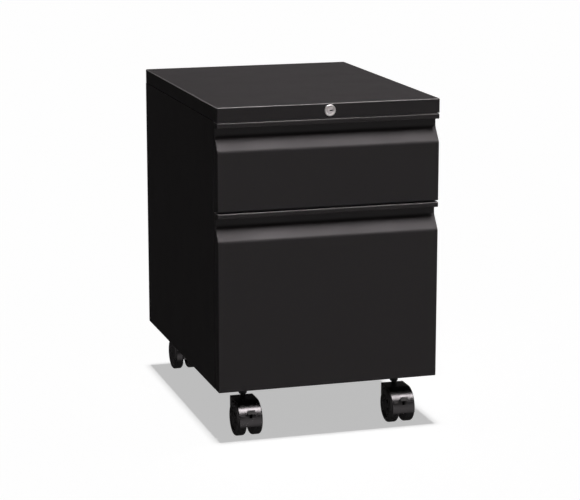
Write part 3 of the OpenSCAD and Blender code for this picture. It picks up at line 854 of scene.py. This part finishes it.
def brake(node):
    """Brake lever: a rounded thumb tab on a short arm with trunnions in the web."""
    low, high = span(node)
    x = (low.x + high.x) / 2
    y0, z_top = low.y, high.z
    half = (high.x - low.x) / 2
    pivot_y, pivot_z = high.y - 3 * MM, z_top - 7 * MM
    tab = block("tab", (x - half, y0, z_top - 7 * MM), (x + half, y0 + 3 * MM, z_top))
    bevel(tab, 1.2 * MM, 4, 30)
    baked(tab)
    arm = block("arm", (x - 2 * MM, y0 + 1.5 * MM, pivot_z),
                (x + 2 * MM, pivot_y, pivot_z + 3 * MM))
    bevel(arm, 0.3 * MM, 2, 30)
    baked(arm)
    barrel_profile = [(0, 0), (0, 2.7 * MM), (0.3 * MM, 3 * MM), (3.7 * MM, 3 * MM),
                      (4 * MM, 2.7 * MM), (4 * MM, 0)]
    barrel = lathe("barrel", barrel_profile, (x - 2 * MM, pivot_y, pivot_z), (1, 0, 0), 48)
    pins = cylinder("pins", (x - 4.1 * MM, pivot_y, pivot_z), (1, 0, 0), 1.5 * MM, 8.2 * MM, 32)
    return finished(fuse(tab, arm, barrel, pins))


# ---------- camera, light and floor ----------

def make_camera():
    """Seen from the front left, a little above, with a long lens."""
    lens_mm, sensor_mm = 128.73, 36.0
    target = Vector((0.0082, 0.0, 0.2615))
    azimuth, elevation, distance = math.radians(-16.82), math.radians(12.35), 3.667
    back = Vector((
        math.sin(azimuth) * math.cos(elevation),
        -math.cos(azimuth) * math.cos(elevation),
        math.sin(elevation),
    ))
    data = bpy.data.cameras.new("camera")
    data.lens = lens_mm
    data.sensor_width = sensor_mm
    data.clip_end = 100.0
    camera = bpy.data.objects.new("camera", data)
    camera.location = target + back * distance
    camera.rotation_euler = (-back).to_track_quat("-Z", "Y").to_euler()
    bpy.context.collection.objects.link(camera)
    bpy.context.scene.camera = camera


def lobe(tree, direction, centre, inner, outer, level):
    """A soft round patch of light in the surroundings: full inside one angle, none past another."""
    aim = Vector(centre).normalized()
    dot = tree.nodes.new("ShaderNodeVectorMath")
    dot.operation = "DOT_PRODUCT"
    tree.links.new(direction, dot.inputs[0])
    dot.inputs[1].default_value = aim
    fall = tree.nodes.new("ShaderNodeMapRange")
    fall.interpolation_type = "SMOOTHSTEP"
    tree.links.new(dot.outputs["Value"], fall.inputs["Value"])
    fall.inputs["From Min"].default_value = math.cos(math.radians(outer))
    fall.inputs["From Max"].default_value = math.cos(math.radians(inner))
    fall.inputs["To Max"].default_value = level
    return fall.outputs["Result"]


# patches of light round the object: (direction, full inside, none outside, radiance)
GLOSS_LIGHTS = [
    ((0.12, -0.39, 0.91), 13, 20, 17.0),
    ((0.25, -0.93, -0.21), 4, 34, 0.62),
    ((0.45, 0.75, 0.50), 5, 42, 0.12),
    ((-0.95, -0.15, 0.25), 10, 50, 0.26),
    ((0.95, 0.20, -0.15), 8, 40, 0.50),
    ((0.35, 0.90, -0.25), 6, 30, 0.14),
]
AMBIENT = 0.02
FLOOR_GLOW = 0.50
FLOOR_SHADE = 0.49
SUN_POWER = 2.2


def make_studio():
    """Overhead soft light, a glowing pale floor and soft boxes that show in the gloss."""
    scene = bpy.context.scene
    scene.view_settings.view_transform = "Standard"
    world = bpy.data.worlds.new("studio")
    world.use_nodes = True
    world.cycles.sampling_method = "NONE"
    tree = world.node_tree
    direction = tree.nodes.new("ShaderNodeTexCoord").outputs["Generated"]
    patches = total(tree, [lobe(tree, direction, *row) for row in GLOSS_LIGHTS])
    path = tree.nodes.new("ShaderNodeLightPath")
    glossy = tree.nodes.new("ShaderNodeMath")
    glossy.operation = "MULTIPLY_ADD"
    tree.links.new(patches, glossy.inputs[0])
    tree.links.new(path.outputs["Is Glossy Ray"], glossy.inputs[1])
    glossy.inputs[2].default_value = AMBIENT
    strength = total(tree, [glossy.outputs[0], path.outputs["Is Camera Ray"]])
    tree.links.new(strength, tree.nodes["Background"].inputs["Strength"])
    tree.nodes["Background"].inputs["Color"].default_value = (1.08, 1.0, 1.03, 1)
    scene.world = world

    sun = bpy.data.lights.new("overhead", "SUN")
    sun.energy = SUN_POWER
    sun.angle = math.radians(3)
    sun_object = bpy.data.objects.new("overhead", sun)
    bpy.context.collection.objects.link(sun_object)

    half = 30.0
    bm = bmesh.new()
    bmesh.ops.create_grid(bm, x_segments=4, y_segments=4, size=half)
    floor = new_object("floor", bm)
    n = Nodes("pale_floor")
    shade = FLOOR_SHADE * math.pi / (SUN_POWER + math.pi * AMBIENT)
    floor.data.materials.append(n.surface(
        Base_Color=(shade, shade, shade, 1), Roughness=0.9, Specular_IOR_Level=0.0,
        Emission_Color=(1, 1, 1, 1), Emission_Strength=FLOOR_GLOW))
    floor.location.z = -0.0002
    floor.visible_glossy = False


def stand_for(piece, node, material=None):
    """A piece that takes over from one CAD node, on its body and in its slot."""
    slot = SLOT_OF[node]
    place(piece, BODY_OF[node], slot, material or MATERIALS[slot], node)
    replaced_nodes.add(node)


replaced_nodes = set()
for drawer in ("box", "file"):
    stand_for(drawer_front(drawer + "_drawer_front"), drawer + "_drawer_front")
stand_for(cap_skin(), "top_cap")
stand_for(side_skin(-1), "left_side_panel")
stand_for(side_skin(1), "right_side_panel")
stand_for(lock_ring(), "lock_housing")
stand_for(lock_face(), "lock_plug", KEYWAY_NICKEL)
stand_for(stems(), "caster_stems")
for end in ("front", "back"):
    for side in ("left", "right"):
        stand_for(hood("caster_hood_" + end + "_" + side), "caster_hood_" + end + "_" + side)
        for half in ("a", "b"):
            name = "wheel_" + end + "_" + side + "_" + half
            stand_for(wheel(name), name)
for side in ("left", "right"):
    stand_for(brake("caster_brake_front_" + side), "caster_brake_front_" + side)
finish_cad_nodes(replaced_nodes)
make_camera()
make_studio()
